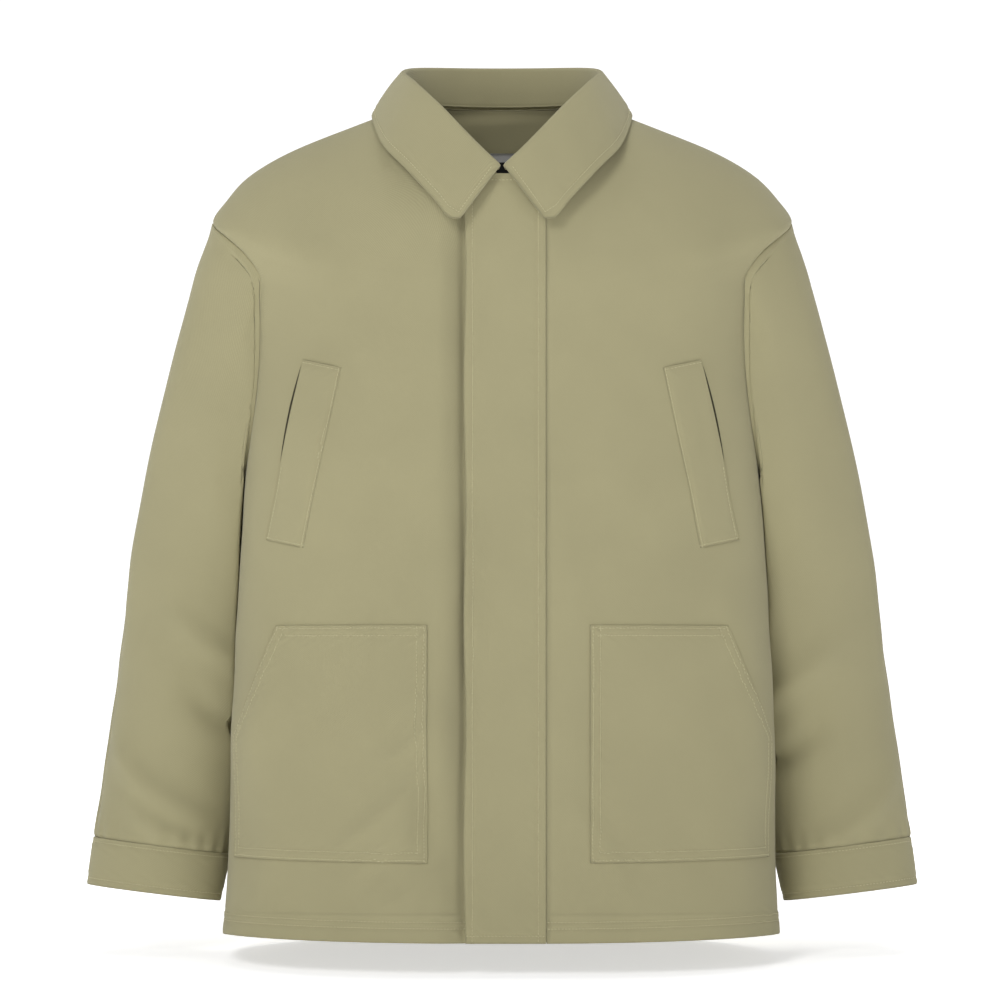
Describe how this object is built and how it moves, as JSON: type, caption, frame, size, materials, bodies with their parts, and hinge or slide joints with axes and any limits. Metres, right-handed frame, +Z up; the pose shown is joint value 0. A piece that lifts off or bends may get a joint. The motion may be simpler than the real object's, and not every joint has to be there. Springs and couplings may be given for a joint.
{
  "type": "beekeeping jacket",
  "caption": "Work jacket with fold-down collar, zip under a storm flap, slanted chest welt pockets, patch hand pockets and banded cuffs.",
  "frame": {"origin": "midway between the two points where the shoulder seams meet the collar, where the jacket hangs", "axes": "+Z up, +X to the wearer's left, -Y to the front"},
  "size_m": [0.7644, 0.2456, 0.8029],
  "materials": {
    "shell_cloth": "matte olive khaki cotton twill with tone-on-tone stitching",
    "facing_cloth": "matte olive khaki cotton, inner face",
    "label_tape": "blank pale grey woven tape",
    "zip_tape": "dark woven polyester tape",
    "zip_teeth": "dark moulded plastic",
    "zip_metal": "satin plated metal",
    "stud_metal": "satin plated metal"
  },
  "bodies": {
    "root": {"right_front_panel": "shell_cloth", "left_front_panel": "shell_cloth", "back_panel": "shell_cloth", "left_sleeve_head": "shell_cloth", "right_sleeve_head": "shell_cloth", "top_collar": "shell_cloth", "under_collar": "shell_cloth", "neck_facing": "facing_cloth", "neck_label": "label_tape", "left_zip_placket": "shell_cloth", "left_front_facing": "facing_cloth", "right_front_facing": "facing_cloth", "storm_flap_head": "shell_cloth", "left_chest_welt": "shell_cloth", "right_chest_welt": "shell_cloth", "left_chest_pocket_bag": "facing_cloth", "right_chest_pocket_bag": "facing_cloth", "left_patch_pocket": "shell_cloth", "right_patch_pocket": "shell_cloth", "left_zip_tape": "zip_tape", "right_zip_tape": "zip_tape", "left_zip_teeth": "zip_teeth", "right_zip_teeth": "zip_teeth", "left_zip_top_stop": "zip_teeth", "right_zip_top_stop": "zip_teeth", "zip_retainer_box": "zip_teeth", "zip_insertion_pin": "zip_teeth", "press_stud_1": "stud_metal", "press_stud_2": "stud_metal", "press_stud_3": "stud_metal", "press_stud_4": "stud_metal", "press_stud_5": "stud_metal"},
    "storm_flap": {"storm_flap": "shell_cloth", "press_socket_1": "stud_metal", "press_socket_2": "stud_metal", "press_socket_3": "stud_metal", "press_socket_4": "stud_metal", "press_socket_5": "stud_metal"},
    "left_sleeve": {"left_sleeve": "shell_cloth", "left_cuff": "shell_cloth"},
    "right_sleeve": {"right_sleeve": "shell_cloth", "right_cuff": "shell_cloth"},
    "zip_slider": {"zip_slider": "zip_metal"},
    "zip_tab": {"zip_tab": "zip_metal"}
  },
  "joints": [
    {"name": "zip_slide", "type": "slide", "parent": "root", "child": "zip_slider", "axis": [0, -0.064, -0.998], "range_m": [0, 0.642]},
    {"name": "zip_tab_hinge", "type": "hinge", "parent": "zip_slider", "child": "zip_tab", "pos_m": [0.002, -0.08337, -0.08397], "axis": [-1, 0, 0], "range_deg": [0, 9]},
    {"name": "storm_flap_hinge", "type": "hinge", "parent": "root", "child": "storm_flap", "pos_m": [0.0403, -0.1026, -0.3], "axis": [0, 0.064, 0.998], "range_deg": [0, 150]},
    {"name": "left_sleeve_swing", "type": "hinge", "parent": "root", "child": "left_sleeve", "pos_m": [0.3357, 0.03, -0.3872], "axis": [0, -1, 0], "range_deg": [0, 35]},
    {"name": "right_sleeve_swing", "type": "hinge", "parent": "root", "child": "right_sleeve", "pos_m": [-0.3357, 0.03, -0.3872], "axis": [0, 1, 0], "range_deg": [0, 35]}
  ]
}
